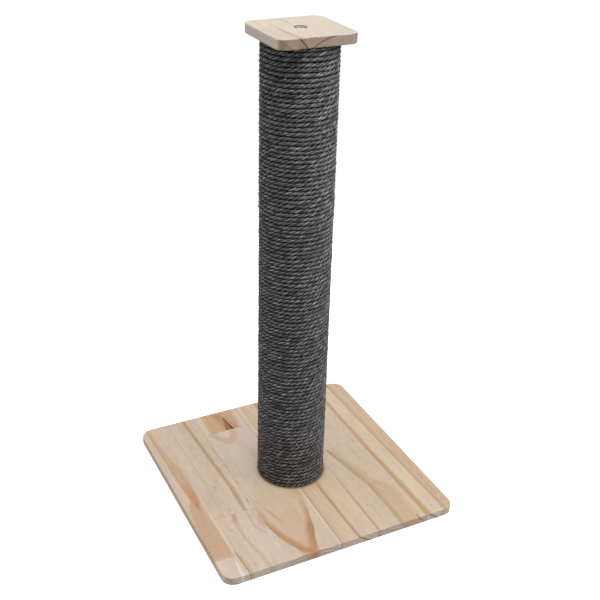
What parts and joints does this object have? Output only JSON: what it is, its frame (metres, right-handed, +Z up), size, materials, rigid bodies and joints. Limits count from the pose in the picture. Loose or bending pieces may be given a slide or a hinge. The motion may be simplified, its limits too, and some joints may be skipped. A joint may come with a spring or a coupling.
{
  "type": "cat scratching post",
  "caption": "Free-standing cat scratching post: a rope-wound upright on a square pine base, closed by a small square pine top board.",
  "frame": {"origin": "middle of the base's underside, on the floor", "axes": "+Z up along the post; +X and +Y along the base's edges, with the wood's grain along Y"},
  "size_m": [0.4, 0.4, 0.75],
  "materials": {
    "pine": "planed pine, unvarnished, satin",
    "pine_top": "planed pale pine, unvarnished, satin",
    "plug_wood": "rough turned softwood",
    "cardboard": "spiral-wound cardboard, matt",
    "rope": "dyed twisted fibre rope, matt and slightly hairy",
    "zinc": "zinc-plated steel, satin"
  },
  "bodies": {
    "root": {"base_stave_1_front": "pine", "base_stave_1_rear": "pine", "base_stave_2_front": "pine", "base_stave_2_rear": "pine", "base_stave_3_front": "pine", "base_stave_3_rear": "pine", "base_stave_4": "pine", "base_stave_5_front": "pine", "base_stave_5_rear": "pine", "base_stave_6": "pine", "base_bolt_washer": "zinc", "base_bolt": "zinc", "top_bolt": "zinc", "post_tube": "cardboard", "lower_end_plug": "plug_wood", "upper_end_plug": "plug_wood", "lower_threaded_insert": "zinc", "upper_threaded_insert": "zinc", "lower_plug_staple_1": "zinc", "lower_plug_staple_2": "zinc", "lower_plug_staple_3": "zinc", "lower_plug_staple_4": "zinc", "upper_plug_staple_1": "zinc", "upper_plug_staple_2": "zinc", "upper_plug_staple_3": "zinc", "upper_plug_staple_4": "zinc", "rope_winding": "rope", "top_board": "pine_top"}
  },
  "joints": []
}
